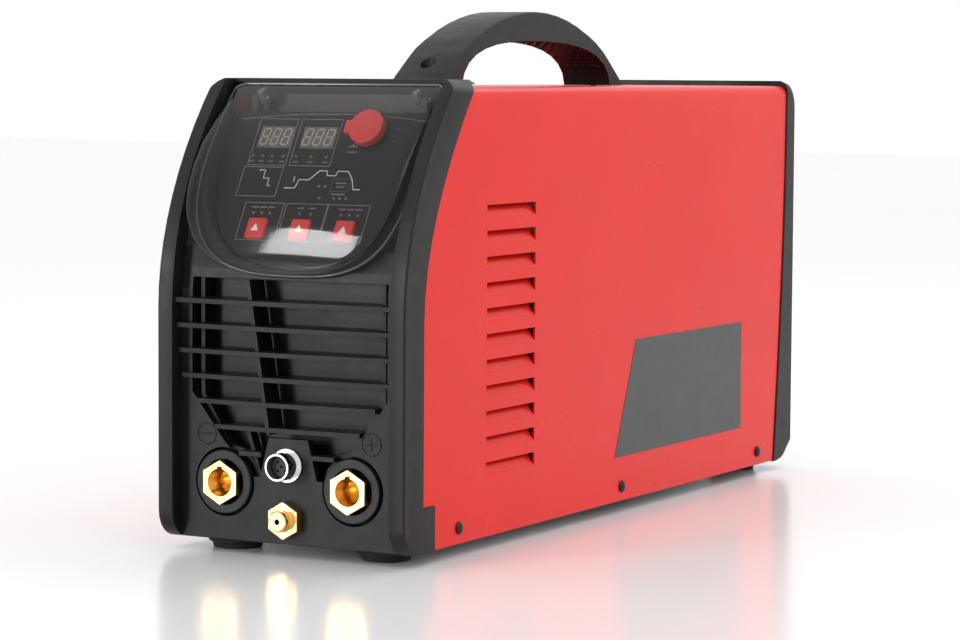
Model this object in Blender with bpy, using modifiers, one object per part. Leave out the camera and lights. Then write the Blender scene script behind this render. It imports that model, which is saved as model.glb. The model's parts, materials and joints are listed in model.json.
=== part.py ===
"""Portable TIG welding power source, modelled as an assembly of separate named parts.

Metres, +Z up. The machine stands on its feet at Z = 0, X runs across it and -Y is its front.
The origin is the centre of its footprint.
"""

import math

import bmesh
import bpy
from mathutils import Matrix, Vector

# ---------------------------------------------------------------- driving dimensions
COLLECTION = "tig_welding_machine"
GAP = 0.0003                    # air between pieces that touch
SHEET = 0.0012                  # sheet steel
FOOT_HEIGHT = 0.0065

BEZEL_HALF_WIDTH = 0.082
BEZEL_BOTTOM = FOOT_HEIGHT + GAP
BEZEL_TOP = 0.2716
BEZEL_NOSE_Y = -0.2732          # front of the two pillars
BEZEL_REAR_Y = -0.2515          # where the pillars meet the cover
PILLAR_ROUND = 0.009
NOSE_FOOT_ROUND = 0.016
PILLAR_INNER_X = 0.072
LOWER_FACE_Y = -0.2629
LOWER_FACE_WALL = 0.004

COVER_HALF_WIDTH = 0.081
COVER_TOP = 0.267
COVER_BOTTOM = 0.0075
COVER_CORNER = 0.006

TRAY_HALF_WIDTH = COVER_HALF_WIDTH - SHEET - GAP
TRAY_FRONT_Y = -0.2370
TRAY_REAR_Y = 0.2390
TRAY_BOTTOM = 0.0085
TRAY_SIDE_TOP = 0.030

REAR_FACE_Y = 0.2750
REAR_TOP = 0.2705
REAR_PANEL_Y = 0.2600

PANEL_TILT = math.radians(30)   # control panel leans back from the vertical
PANEL_FOOT = Vector((0, -0.2494, 0.1866))
PANEL_THICKNESS = 0.002
PANEL_SEAT = 0.0023             # recess floor behind the panel's face
PANEL_WALL = 0.003
BOARD_DEPTH = 0.0129            # control board behind the panel's face

VISOR_HINGE_Y, VISOR_HINGE_Z = -0.2060, 0.2600
VISOR_HALF_WIDTH = 0.072
VISOR_BOTTOM, VISOR_TOP = 0.1595, 0.2685
VISOR_WALL = 0.0025
HINGE_LUG_X, HINGE_BRACKET_X = 0.0520, 0.0570

SOCKET_X, SOCKET_Z = 0.0426, 0.041
CONNECTOR_Z, GAS_OUTLET_Z = 0.053, 0.022
FRONT_PLATE_Y = -0.2485

GRILLE_TOP_Z, GRILLE_PITCH = 0.145, 0.01445
GRILLE_FRONT_Y = (-0.2748, -0.2738, -0.2726, -0.2710, -0.2690, -0.2668, -0.2652)   # at the middle
GRILLE_BOW = 0.0040             # how far the slats' ends are set back

LOUVRE_COUNT, LOUVRE_PITCH = 11, 0.0149
LOUVRE_LOW_Z, LOUVRE_HEIGHT = 0.0431, 0.0076
LOUVRE_Y = (-0.177, -0.117)

SCREW_Y, SCREW_Z = (-0.2092, 0.0017, 0.2130), 0.0165
FOOT_X, FOOT_Y = 0.050, (-0.238, 0.243)
FOOT_RADIUS = 0.017

HANDLE_HALF_WIDTH = 0.017
HANDLE_SCREW_Y = (-0.1040, 0.1185)

FAN_Z, FAN_HALF = 0.165, 0.0597
FAN_Y = (0.2345, 0.2595)

BUTTON_X, BUTTON_V = (-0.0294, -0.0003, 0.0290), -0.001
DISPLAY_X, DISPLAY_V = (-0.03575, -0.0068), 0.0595
KNOB_X, KNOB_V = 0.0264, 0.0640
KNOB_TOP = 0.0062

SIDES = (("left", -1), ("right", 1))


# ---------------------------------------------------------------- scene and materials
def clear_scene():
    for obj in list(bpy.data.objects):
        bpy.data.objects.remove(obj, do_unlink=True)


def new_collection(name):
    collection = bpy.data.collections.new(name)
    bpy.context.scene.collection.children.link(collection)
    return collection


def new_material(name, colour, roughness, metallic=0.0, alpha=1.0):
    material = bpy.data.materials.new(name)
    material.use_nodes = True
    shader = material.node_tree.nodes["Principled BSDF"]
    shader.inputs["Base Color"].default_value = (*colour, 1.0)
    shader.inputs["Roughness"].default_value = roughness
    shader.inputs["Metallic"].default_value = metallic
    shader.inputs["Alpha"].default_value = alpha
    return material


clear_scene()
PARTS = new_collection(COLLECTION)
CUTTERS = new_collection("cutters")

RED_PAINT = new_material("red_paint", (0.72, 0.025, 0.018), 0.35)
BLACK_PLASTIC = new_material("black_plastic", (0.012, 0.012, 0.013), 0.5)
SMOKED_CLEAR = new_material("smoked_clear", (0.10, 0.09, 0.085), 0.08, alpha=0.35)
PANEL_FOIL = new_material("panel_foil", (0.015, 0.015, 0.016), 0.4)
DISPLAY_GREY = new_material("display_grey", (0.12, 0.12, 0.12), 0.25)
RED_PLASTIC = new_material("red_plastic", (0.70, 0.02, 0.025), 0.4)
BRASS = new_material("brass", (0.80, 0.52, 0.16), 0.25, metallic=1.0)
CHROME = new_material("chrome", (0.75, 0.75, 0.76), 0.12, metallic=1.0)
STEEL = new_material("steel", (0.45, 0.45, 0.46), 0.4, metallic=1.0)
BLACK_STEEL = new_material("black_steel", (0.02, 0.02, 0.02), 0.5)
ALUMINIUM = new_material("aluminium", (0.70, 0.71, 0.72), 0.35, metallic=1.0)
RUBBER = new_material("rubber", (0.010, 0.010, 0.010), 0.8)
CIRCUIT_BOARD = new_material("circuit_board", (0.01, 0.12, 0.04), 0.45)
COPPER = new_material("copper", (0.70, 0.30, 0.12), 0.3, metallic=1.0)
FERRITE = new_material("ferrite", (0.05, 0.05, 0.055), 0.6)
SLEEVE_BLUE = new_material("sleeve_blue", (0.02, 0.06, 0.30), 0.35)
HOSE_GREY = new_material("hose_grey", (0.08, 0.08, 0.09), 0.5)


# ---------------------------------------------------------------- modelling helpers
def place(obj, material=None, matrix=None):
    """Put a finished object in the parts, or in the cutters when it has no material."""
    (PARTS if material else CUTTERS).objects.link(obj)
    if material:
        obj.data.materials.append(material)
    else:
        obj.hide_render = True
        obj.display_type = "WIRE"
    if matrix is not None:
        obj.matrix_world = matrix
    return obj


def object_from(bm, name, material=None, matrix=None):
    mesh = bpy.data.meshes.new(name)
    bm.to_mesh(mesh)
    bm.free()
    return place(bpy.data.objects.new(name, mesh), material, matrix)


def smooth(obj, angle=35):
    obj.data.shade_smooth()
    obj.data.set_sharp_from_angle(angle=math.radians(angle))
    return obj


def solid_mesh(source):
    """The evaluated shape of an object as a welded bmesh in world space."""
    depsgraph = bpy.context.evaluated_depsgraph_get()
    mesh = bpy.data.meshes.new_from_object(source.evaluated_get(depsgraph))
    mesh.transform(source.matrix_world)
    bm = bmesh.new()
    bm.from_mesh(mesh)
    bpy.data.meshes.remove(mesh)
    bmesh.ops.remove_doubles(bm, verts=bm.verts, dist=1e-6)
    return bm


AXES = {
    "X": Matrix(((0, 0, 1, 0), (1, 0, 0, 0), (0, 1, 0, 0), (0, 0, 0, 1))),
    "Y": Matrix(((1, 0, 0, 0), (0, 0, -1, 0), (0, 1, 0, 0), (0, 0, 0, 1))),
    "Z": Matrix.Identity(4),
}
# local z of a turned or drilled shape along the front-facing normal, and along the sides
TO_FRONT = Matrix.Rotation(math.radians(90), 4, "X")
TO_SIDE = {1: Matrix.Rotation(math.radians(90), 4, "Y"), -1: Matrix.Rotation(math.radians(-90), 4, "Y")}


def slab(name, outlines, low, high, axis, material=None, frame=None):
    """A flat outline (or several, the later ones holes) drawn across an axis, from low to high on it.

    Across X the outline is (y, z), across Y it is (x, z) and across Z it is (x, y).
    """
    curve = bpy.data.curves.new(name, "CURVE")
    curve.dimensions = "2D"
    curve.fill_mode = "BOTH"
    curve.extrude = (high - low) / 2
    for outline in outlines if isinstance(outlines[0][0], (list, tuple)) else [outlines]:
        spline = curve.splines.new("POLY")
        spline.points.add(len(outline) - 1)
        for point, (u, v) in zip(spline.points, outline):
            point.co = (u, v, 0, 1)
        spline.use_cyclic_u = True
    flat = bpy.data.objects.new(name, curve)
    bpy.context.scene.collection.objects.link(flat)
    middle = (low + high) / 2
    flat.matrix_world = AXES[axis] @ Matrix.Translation((0, 0, -middle if axis == "Y" else middle))
    bpy.context.view_layer.update()
    bm = solid_mesh(flat)
    bpy.data.objects.remove(flat, do_unlink=True)
    bmesh.ops.dissolve_limit(bm, angle_limit=0.001, verts=bm.verts, edges=bm.edges)
    bmesh.ops.recalc_face_normals(bm, faces=bm.faces)
    if frame is not None:
        bmesh.ops.transform(bm, matrix=frame, verts=bm.verts)
    return object_from(bm, name, material)


def box(name, low, high, material=None, bevel=0.0, frame=None):
    """A box between two corners, with rounded edges if bevel is given."""
    low, high = Vector(low), Vector(high)
    bm = bmesh.new()
    bmesh.ops.create_cube(bm, size=1.0)
    bmesh.ops.scale(bm, vec=high - low, verts=bm.verts)
    centre = Matrix.Translation((low + high) / 2)
    obj = object_from(bm, name, material, (frame or Matrix.Identity(4)) @ centre)
    if bevel:
        rounding = obj.modifiers.new("rounding", "BEVEL")
        rounding.width = bevel
        rounding.segments = 2
    return obj


def turned(name, profile, material=None, matrix=None, steps=32, ring=False):
    """A turned piece: (radius, height) points down its outer side, spun about local z."""
    bm = bmesh.new()
    points = [bm.verts.new((radius, 0, height)) for radius, height in profile]
    for first, second in zip(points, points[1:] + points[:1] if ring else points[1:]):
        bm.edges.new((first, second))
    obj = object_from(bm, name, material, matrix)
    screw = obj.modifiers.new("turn", "SCREW")
    screw.steps = steps
    screw.render_steps = steps
    screw.use_merge_vertices = True
    screw.merge_threshold = 0.00001
    screw.use_smooth_shade = True
    return obj


def disc_profile(radius, low, high, chamfer=0.0):
    """The profile of a plain cylinder, with chamfered rims if asked."""
    if not chamfer:
        return [(0, high), (radius, high), (radius, low), (0, low)]
    return [(0, high), (radius - chamfer, high), (radius, high - chamfer),
            (radius, low + chamfer), (radius - chamfer, low), (0, low)]


def ring_profile(inner, outer, low, high):
    return [(inner, high), (outer, high), (outer, low), (inner, low)]


def drill(name, radius, low, high, matrix=None, steps=32):
    return turned(name, disc_profile(radius, low, high), matrix=matrix, steps=steps)


def tube(name, points, radius, material=None):
    """A round bar or hose through the points."""
    curve = bpy.data.curves.new(name, "CURVE")
    curve.dimensions = "3D"
    curve.bevel_depth = radius
    curve.bevel_resolution = 2
    curve.use_fill_caps = True
    spline = curve.splines.new("POLY")
    spline.points.add(len(points) - 1)
    for point, place_at in zip(spline.points, points):
        point.co = (*place_at, 1)
    return place(bpy.data.objects.new(name, curve), material)


def group(name, pieces):
    """Several shapes that don't touch, merged into one cutter or one set to join."""
    bm = bmesh.new()
    for piece in pieces:
        bpy.context.view_layer.update()
        part = solid_mesh(piece)
        mesh = bpy.data.meshes.new(name)
        part.to_mesh(mesh)
        part.free()
        bm.from_mesh(mesh)
        bpy.data.meshes.remove(mesh)
        bpy.data.objects.remove(piece, do_unlink=True)
    return object_from(bm, name)


def combine(target, tools, operation):
    for tool in tools:
        boolean = target.modifiers.new(operation.lower(), "BOOLEAN")
        boolean.operation = operation
        boolean.solver = "EXACT"
        boolean.object = tool
    return target


def cut(target, *tools):
    return combine(target, tools, "DIFFERENCE")


def fuse(target, *tools):
    return combine(target, tools, "UNION")


def keep_common(target, *tools):
    return combine(target, tools, "INTERSECT")


def round_edges(obj, width, segments, chosen):
    """Bevel the edges whose two ends both satisfy chosen(point)."""
    mesh = obj.data
    weights = mesh.attributes.new("bevel_weight_edge", "FLOAT", "EDGE")
    for edge in mesh.edges:
        ends = [mesh.vertices[index].co for index in edge.vertices]
        weights.data[edge.index].value = float(chosen(*ends))
    bevel = obj.modifiers.new("rounding", "BEVEL")
    bevel.limit_method = "WEIGHT"
    bevel.width = width
    bevel.segments = segments
    return obj


def bezier(points, count):
    """Points along a cubic Bezier, both ends included."""
    p0, p1, p2, p3 = (Vector(point) for point in points)
    found = []
    for step in range(count + 1):
        t = step / count
        s = 1 - t
        found.append(tuple(s**3 * p0 + 3 * s * s * t * p1 + 3 * s * t * t * p2 + t**3 * p3))
    return found


def arc(centre, radius, start, end, count):
    """Points of a circular arc between two angles in degrees."""
    angles = [math.radians(start + (end - start) * step / count) for step in range(count + 1)]
    return [(centre[0] + radius * math.cos(a), centre[1] + radius * math.sin(a)) for a in angles]


def rectangle(low_u, low_v, high_u, high_v):
    return [(low_u, low_v), (high_u, low_v), (high_u, high_v), (low_u, high_v)]


def mirrored(outline):
    """A right half outline, top to bottom, completed with its mirror image."""
    return outline + [(-u, v) for u, v in reversed(outline) if abs(u) > 1e-9]


def polygon(sides, radius, turn=0.0):
    angles = [math.radians(turn) + 2 * math.pi * side / sides for side in range(sides)]
    return [(radius * math.cos(a), radius * math.sin(a)) for a in angles]


def at(x, y, z):
    return Matrix.Translation((x, y, z))


# ---------------------------------------------------------------- shared outlines
# Side view (y, z). Each upright line of the front runs up straight and then leans back in a
# curve: the nose of the pillars, the recessed face between them and the edge of the cover.
NOSE_CURVE = [(BEZEL_NOSE_Y, 0.140), (BEZEL_NOSE_Y, 0.180), (-0.2545, 0.2265), (-0.2145, BEZEL_TOP)]
FACE_CURVE = [(LOWER_FACE_Y, 0.140), (LOWER_FACE_Y, 0.178), (-0.2445, 0.2220), (-0.2075, 0.2630)]
EDGE_CURVE = [(BEZEL_REAR_Y, 0.135), (BEZEL_REAR_Y, 0.175), (-0.2320, 0.2180), (-0.1925, 0.2690)]
VISOR_CURVE = [(-0.2740, VISOR_BOTTOM), (-0.2745, 0.2000), (-0.2500, 0.2430), (-0.2050, VISOR_TOP)]
REAR_EDGE_CURVE = [(0.2405, BEZEL_BOTTOM), (0.2470, 0.0800), (0.2560, 0.1500), (0.2563, 0.2700)]

PANEL_UP = Vector((0, math.sin(PANEL_TILT), math.cos(PANEL_TILT)))
PANEL_NORMAL = Vector((0, -math.cos(PANEL_TILT), math.sin(PANEL_TILT)))
PANEL_FRAME = Matrix.Translation(PANEL_FOOT) @ Matrix((
    (1, 0, 0, 0),
    (0, PANEL_UP.y, PANEL_NORMAL.y, 0),
    (0, PANEL_UP.z, PANEL_NORMAL.z, 0),
    (0, 0, 0, 1),
))


def curve_y(curve, z):
    """The y of a side-view curve at height z."""
    low, high = 0.0, 1.0
    for _ in range(30):
        t = (low + high) / 2
        s = 1 - t
        height = sum(c * p[1] for c, p in zip((s**3, 3 * s * s * t, 3 * s * t * t, t**3), curve))
        low, high = (t, high) if height < z else (low, t)
    return sum(c * p[0] for c, p in zip((s**3, 3 * s * s * t, 3 * s * t * t, t**3), curve))


def u_outline(half_width, bottom, shoulder, top, corner, power, count=9):
    """Front view of the visor or of its recess: a U with straight sides and round top corners."""
    curve = []
    for step in range(count + 1):
        angle = math.pi / 2 * step / count
        curve.append((half_width * math.cos(angle) ** (2 / power),
                      shoulder - (shoulder - bottom) * math.sin(angle) ** (2 / power)))
    top_corner = arc((half_width - corner, top - corner), corner, 90, 0, 4)
    return mirrored(top_corner + curve)


# ---------------------------------------------------------------- casing
def base_tray():
    tray = box("base_tray", (-TRAY_HALF_WIDTH, TRAY_FRONT_Y, TRAY_BOTTOM),
               (TRAY_HALF_WIDTH, TRAY_REAR_Y, TRAY_SIDE_TOP), STEEL)
    inside = box("tray_inside",
                 (-TRAY_HALF_WIDTH + SHEET, TRAY_FRONT_Y - 0.01, TRAY_BOTTOM + SHEET),
                 (TRAY_HALF_WIDTH - SHEET, TRAY_REAR_Y - SHEET, TRAY_SIDE_TOP + 0.01))
    holes = [drill("tray_screw_hole", 0.0024, 0.07, 0.09, at(0, y, SCREW_Z) @ TO_SIDE[side], 12)
             for y in SCREW_Y for _, side in SIDES]
    cut(tray, inside, group("tray_screw_holes", holes))


def cover_section(half_width, top):
    corner = COVER_CORNER - (COVER_HALF_WIDTH - half_width)
    return arc((half_width - corner, top - corner), corner, 90, 0, 3)


def louvre_flap(side, z):
    """The tongue of a louvre, still joined along its lower edge and leaning inwards."""
    outline = [(0.0807, z - 0.0010), (0.0807, z + 0.0002), (0.0760, z + 0.0068),
               (0.0751, z + 0.0062), (0.0800, z - 0.0003), (0.0800, z - 0.0010)]
    return slab("flap", [(side * x, height) for x, height in outline],
                LOUVRE_Y[0] + GAP, LOUVRE_Y[1] - GAP, "Y")


def top_cover():
    outer = mirrored(cover_section(COVER_HALF_WIDTH, COVER_TOP) + [(COVER_HALF_WIDTH, COVER_BOTTOM)])
    cover = slab("top_cover", outer, -0.256, 0.262, "Y", RED_PAINT)
    inner_width = COVER_HALF_WIDTH - SHEET
    inner = mirrored(cover_section(inner_width, COVER_TOP - SHEET) + [(inner_width, -0.01)])
    inside = slab("cover_inside", inner, -0.30, 0.30, "Y")

    curved_edge = bezier([(y + GAP, z) for y, z in EDGE_CURVE], 10)
    front = slab("cover_front_trim",
                 [(-0.30, 0.0), (-0.2380, 0.0), (-0.2380, 0.0330), (curved_edge[0][0], 0.0330)]
                 + curved_edge + [(-0.1885, 0.30), (-0.30, 0.30)], -0.1, 0.1, "X")
    rear_edge = bezier([(y - GAP, z) for y, z in REAR_EDGE_CURVE], 10)
    rear = slab("cover_rear_trim", rear_edge + [(0.30, 0.2700), (0.30, 0.0)], -0.1, 0.1, "X")

    louvre_heights = [LOUVRE_LOW_Z + LOUVRE_PITCH * row for row in range(LOUVRE_COUNT)]
    slots = group("louvre_slots", [
        box("slot", (-0.1, LOUVRE_Y[0], z), (0.1, LOUVRE_Y[1], z + LOUVRE_HEIGHT))
        for z in louvre_heights])
    flaps = group("louvre_flaps", [louvre_flap(side, z) for _, side in SIDES for z in louvre_heights])
    screw_holes = group("cover_screw_holes", [
        drill("hole", 0.0024, -0.1, 0.1, at(0, y, SCREW_Z) @ TO_SIDE[1], 12) for y in SCREW_Y])
    handle_holes = group("cover_handle_holes", [
        drill("hole", 0.0024, 0.25, 0.28, at(0, y, 0), 12) for y in HANDLE_SCREW_Y])
    cut(cover, inside, front, rear, slots, screw_holes, handle_holes)
    fuse(cover, flaps)


def nose_outline():
    """Side view of the front moulding, its rounded foot first."""
    r = NOSE_FOOT_ROUND
    foot = arc((BEZEL_NOSE_Y + r, BEZEL_BOTTOM + r), r, 270, 180, 6)
    return foot + bezier(NOSE_CURVE, 10) \
        + [(-0.1885, BEZEL_TOP), (-0.1885, 0.2690)] \
        + bezier(EDGE_CURVE, 8)[::-1] \
        + [(BEZEL_REAR_Y, 0.0327), (-0.2383, 0.0327), (-0.2383, BEZEL_BOTTOM)]


def front_bezel():
    bezel = slab("front_bezel", nose_outline(), -BEZEL_HALF_WIDTH, BEZEL_HALF_WIDTH, "X",
                 BLACK_PLASTIC)

    def on_nose(first, second):
        """Side edges along the nose, from the rounded foot up to the top."""
        return abs(first.x - second.x) < 1e-6 and all(
            point.y < curve_y(NOSE_CURVE, max(point.z, 0.140)) + 0.0205 and point.z < 0.2720
            and point.y < -0.2130 for point in (first, second)) and max(first.z, second.z) > 0.0075
    round_edges(bezel, PILLAR_ROUND, 3, on_nose)
    top_round = 0.012
    corners = arc((BEZEL_HALF_WIDTH + 0.001 - top_round, BEZEL_TOP + 0.0005 - top_round),
                  top_round, 90, 0, 5)
    keep_common(bezel, slab("bezel_front_view", mirrored(corners + [(BEZEL_HALF_WIDTH + 0.001, -0.01)]),
                            -0.32, -0.10, "Y"))

    # the face between the pillars, which widens towards the top
    recess = slab("face_recess",
                  [(-0.31, -0.02), (LOWER_FACE_Y, -0.02)] + bezier(FACE_CURVE, 10)
                  + [(-0.2022, 0.280), (-0.31, 0.29)], -0.1, 0.1, "X")
    keep_common(recess, slab("face_recess_front", mirrored(
        [(0.0735, 0.295), (0.0735, 0.225), (PILLAR_INNER_X, 0.160), (PILLAR_INNER_X, -0.03)]),
        -0.32, -0.18, "Y"))

    # the control recess, down to the seat of the tilted panel
    seat = PANEL_FOOT - PANEL_NORMAL * PANEL_SEAT
    low, high = seat - PANEL_UP * 0.028, seat + PANEL_UP * 0.0825
    control = slab("control_recess",
                   [(low.y - 0.06, low.z), (low.y, low.z), (high.y, high.z),
                    (high.y - 0.06, high.z + 0.035)],
                   -0.1, 0.1, "X")
    keep_common(control, slab("control_recess_front",
                              u_outline(0.0700, 0.1640, 0.2480, 0.2700, 0.012, 2.7), -0.32, -0.18, "Y"))

    hinge_trough = drill("hinge_trough", 0.0093, -0.0735, 0.0735,
                         at(0, VISOR_HINGE_Y, VISOR_HINGE_Z) @ TO_SIDE[1], 24)

    # hollow behind the walls
    wall = LOWER_FACE_Y + LOWER_FACE_WALL
    back_low = low - PANEL_NORMAL * PANEL_WALL
    back_high = high - PANEL_NORMAL * PANEL_WALL
    hollow = slab("hollow",
                  [(wall, 0.0108), (-0.20, 0.0108), (-0.15, 0.10), (-0.15, 0.2400),
                   (back_high.y + 0.004, 0.2460), (back_low.y, back_low.z), (wall, 0.1610)],
                  -0.0620, 0.0620, "X")
    back_opening = box("electronics_opening", (-0.052, -0.0020, -0.02), (0.052, 0.0755, 0.01),
                       frame=PANEL_FRAME)
    low_opening = box("low_electronics_opening", (-0.036, -0.0165, -0.02), (0.036, 0.0, 0.01),
                      frame=PANEL_FRAME)
    grille = slab("grille_opening", mirrored(
        [(0.0650, 0.158), (0.0650, 0.092), (0.0430, 0.0645), (0.0235, 0.0450), (0.0190, 0.0450),
         (0.0130, 0.0680)]), -0.28, -0.24, "Y")
    holes = group("front_holes", [
        *[drill("socket_hole", 0.0200, 0.230, 0.28, at(side * SOCKET_X, 0, SOCKET_Z) @ TO_FRONT)
          for _, side in SIDES],
        drill("connector_hole", 0.0080, 0.230, 0.28, at(0, 0, CONNECTOR_Z) @ TO_FRONT, 24),
        drill("gas_hole", 0.0068, 0.230, 0.28, at(0, 0, GAS_OUTLET_Z) @ TO_FRONT, 24)])
    cut(bezel, recess, control, hinge_trough, hollow, back_opening, low_opening, grille, holes)

    # brackets that hold the visor's pins
    brackets = []
    for _, side in SIDES:
        x = side * HINGE_BRACKET_X
        outline = [(VISOR_HINGE_Y + 0.0032, VISOR_HINGE_Z - 0.0095),
                   (VISOR_HINGE_Y + 0.0032, VISOR_HINGE_Z)]
        outline += arc((VISOR_HINGE_Y, VISOR_HINGE_Z), 0.0032, 30, 180, 5)
        outline += [(VISOR_HINGE_Y - 0.0032, VISOR_HINGE_Z - 0.0095)]
        brackets.append(slab("bracket", outline, x - 0.0020, x + 0.0020, "X"))
    fuse(bezel, group("visor_brackets", brackets))
    cut(bezel, drill("bracket_pin_hole", 0.0018, -0.06, 0.06,
                     at(0, VISOR_HINGE_Y, VISOR_HINGE_Z) @ TO_SIDE[1], 12))


def front_grille():
    """Bowed slats with two slanting ribs, clipped in behind the front moulding."""
    rim_front, back = LOWER_FACE_Y + LOWER_FACE_WALL + GAP, -0.2505
    outer = mirrored([(0.0615, 0.1600), (0.0615, 0.0900), (0.0465, 0.0665), (0.0426, 0.0605),
                      (0.0328, 0.0579), (0.0257, 0.0508), (0.0234, 0.0420)])
    inner = mirrored([(0.0590, 0.1575), (0.0590, 0.0907), (0.0444, 0.0678), (0.0413, 0.0627),
                      (0.0316, 0.0600), (0.0236, 0.0520), (0.0212, 0.0447)])
    grille = slab("front_grille", [outer, inner], rim_front, back, "Y", BLACK_PLASTIC)

    def slat(row, foot, reach):
        """One slat: its foot passes through the opening and its front spreads over the face."""
        z = GRILLE_TOP_Z - GRILLE_PITCH * row
        front = GRILLE_FRONT_Y[row]
        xs = [reach * (step / 6 - 1) for step in range(13)]
        bow = [(x, front + GRILLE_BOW * (x / PILLAR_INNER_X) ** 2) for x in xs]
        step_y = LOWER_FACE_Y - GAP
        if reach == foot:
            outline = bow + [(foot, back + 0.0004), (-foot, back + 0.0004)]
        else:
            outline = bow + [(reach, step_y), (foot, step_y), (foot, back + 0.0004),
                             (-foot, back + 0.0004), (-foot, step_y), (-reach, step_y)]
        return slab("slat", outline, z - 0.0013, z + 0.0013, "Z")
    slats = [slat(0, 0.0605, 0.0714), slat(1, 0.0605, 0.0714), slat(2, 0.0605, 0.0712),
             slat(3, 0.0605, 0.0695), slat(4, 0.0590, 0.0590), slat(5, 0.0482, 0.0482)]
    low_z = GRILLE_TOP_Z - GRILLE_PITCH * 6
    slats += [box("low_slat", (low_x, GRILLE_FRONT_Y[6], low_z - 0.0013),
                  (low_x + 0.0147, back + 0.0004, low_z + 0.0013)) for low_x in (-0.0315, 0.0168)]
    ribs = [slab("rib", [(-0.0262, 0.1575), (-0.0238, 0.1575), (-0.0100, 0.0700), (-0.0124, 0.0700)],
                 -0.2665, -0.2510, "Y"),
            slab("short_rib", [(-0.0320, 0.0740), (-0.0296, 0.0740), (-0.0200, 0.0440), (-0.0224, 0.0440)],
                 -0.2584, -0.2510, "Y")]
    fuse(grille, group("slats", slats), *ribs)


def front_plate():
    """Steel plate behind the front moulding that carries the sockets, slotted behind the grille."""
    plate = box("front_plate", (-0.0600, FRONT_PLATE_Y, 0.0125), (0.0600, FRONT_PLATE_Y + SHEET, 0.1600),
                BLACK_STEEL)
    slots = group("plate_slots", [
        box("slot", (-0.0450, -0.26, z - 0.0034), (0.0450, -0.24, z - 0.0002))
        for z in (GRILLE_TOP_Z - GRILLE_PITCH * row for row in range(5))])
    holes = group("plate_holes", [
        *[drill("hole", 0.0112, 0.24, 0.26, at(side * SOCKET_X, 0, SOCKET_Z) @ TO_FRONT, 24)
          for _, side in SIDES],
        drill("hole", 0.0078, 0.24, 0.26, at(0, 0, CONNECTOR_Z) @ TO_FRONT, 24),
        drill("hole", 0.0064, 0.24, 0.26, at(0, 0, GAS_OUTLET_Z) @ TO_FRONT, 24)])
    cut(plate, slots, holes)


def rear_bezel():
    outline = bezier(REAR_EDGE_CURVE, 8)[:-1] + [(0.2563, REAR_TOP)]
    outline += arc((REAR_FACE_Y - 0.018, REAR_TOP - 0.018), 0.018, 88, 0, 5)
    outline += [(REAR_FACE_Y, 0.0180), (0.2650, 0.0100), (0.2450, BEZEL_BOTTOM)]
    bezel = slab("rear_bezel", outline, -BEZEL_HALF_WIDTH, BEZEL_HALF_WIDTH, "X", BLACK_PLASTIC)

    def on_back(first, second):
        return abs(first.x - second.x) < 1e-6 and min(first.z, second.z) > 0.009 and \
            all(point.y > curve_y(REAR_EDGE_CURVE, min(point.z, 0.2695)) + 0.003
                or point.z > 0.2700 for point in (first, second))
    round_edges(bezel, 0.006, 2, on_back)
    rebate = box("panel_rebate", (-0.0750, 0.20, 0.0150), (0.0750, REAR_PANEL_Y + SHEET + GAP, 0.2620))
    opening = box("rear_opening", (-0.0680, 0.20, 0.0200), (0.0680, 0.30, 0.2560))
    cut(bezel, rebate, opening)


def rear_panel():
    panel = box("rear_panel", (-0.0747, REAR_PANEL_Y, 0.0153), (0.0747, REAR_PANEL_Y + SHEET, 0.2617),
                STEEL)
    holes = group("rear_holes", [
        drill("fan_hole", 0.0560, 0.25, 0.27, at(0, 0, FAN_Z) @ TO_FRONT.inverted()),
        box("switch_hole", (-0.0510, 0.25, 0.0555), (-0.0290, 0.27, 0.0845)),
        drill("gland_hole", 0.0083, 0.25, 0.27, at(0.0380, 0, 0.0680) @ TO_FRONT.inverted(), 24),
        drill("gas_hole", 0.0053, 0.25, 0.27, at(-0.0400, 0, 0.0350) @ TO_FRONT.inverted(), 24),
        drill("earth_hole", 0.0033, 0.25, 0.27, at(0.0380, 0, 0.0350) @ TO_FRONT.inverted(), 16)])
    cut(panel, holes)


def handle():
    """Arched carrying handle screwed down to the cover."""
    low = COVER_TOP + GAP
    outer = bezier([(-0.1218, low), (-0.0900, 0.2970), (-0.0400, 0.3138), (0.0050, 0.3138)], 10) \
        + bezier([(0.0050, 0.3138), (0.0550, 0.3138), (0.1000, 0.2950), (0.1290, low)], 10)[1:]
    inner = bezier([(0.1095, low), (0.1080, 0.2900), (0.0600, 0.2955), (0.0080, 0.2955)], 8) \
        + bezier([(0.0080, 0.2955), (-0.0500, 0.2955), (-0.0890, 0.2900), (-0.0924, low)], 8)[1:]
    grip = slab("handle", outer + inner, -HANDLE_HALF_WIDTH, HANDLE_HALF_WIDTH, "X", BLACK_PLASTIC)

    def on_outside(first, second):
        return abs(first.x - second.x) < 1e-6 and all(
            point.z > low + 0.001 and not
            (abs(point.y - 0.0085) < 0.1012 and point.z < 0.2957) for point in (first, second))
    round_edges(grip, 0.004, 2, on_outside)
    seats = group("screw_seats", [
        drill("seat", 0.0048, COVER_TOP + 0.0045, 0.32, at(0, y, 0), 20) for y in HANDLE_SCREW_Y])
    shank_holes = group("shank_holes", [
        drill("hole", 0.0024, 0.26, 0.30, at(0, y, 0), 12) for y in HANDLE_SCREW_Y])
    cut(grip, seats, shank_holes)


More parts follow.
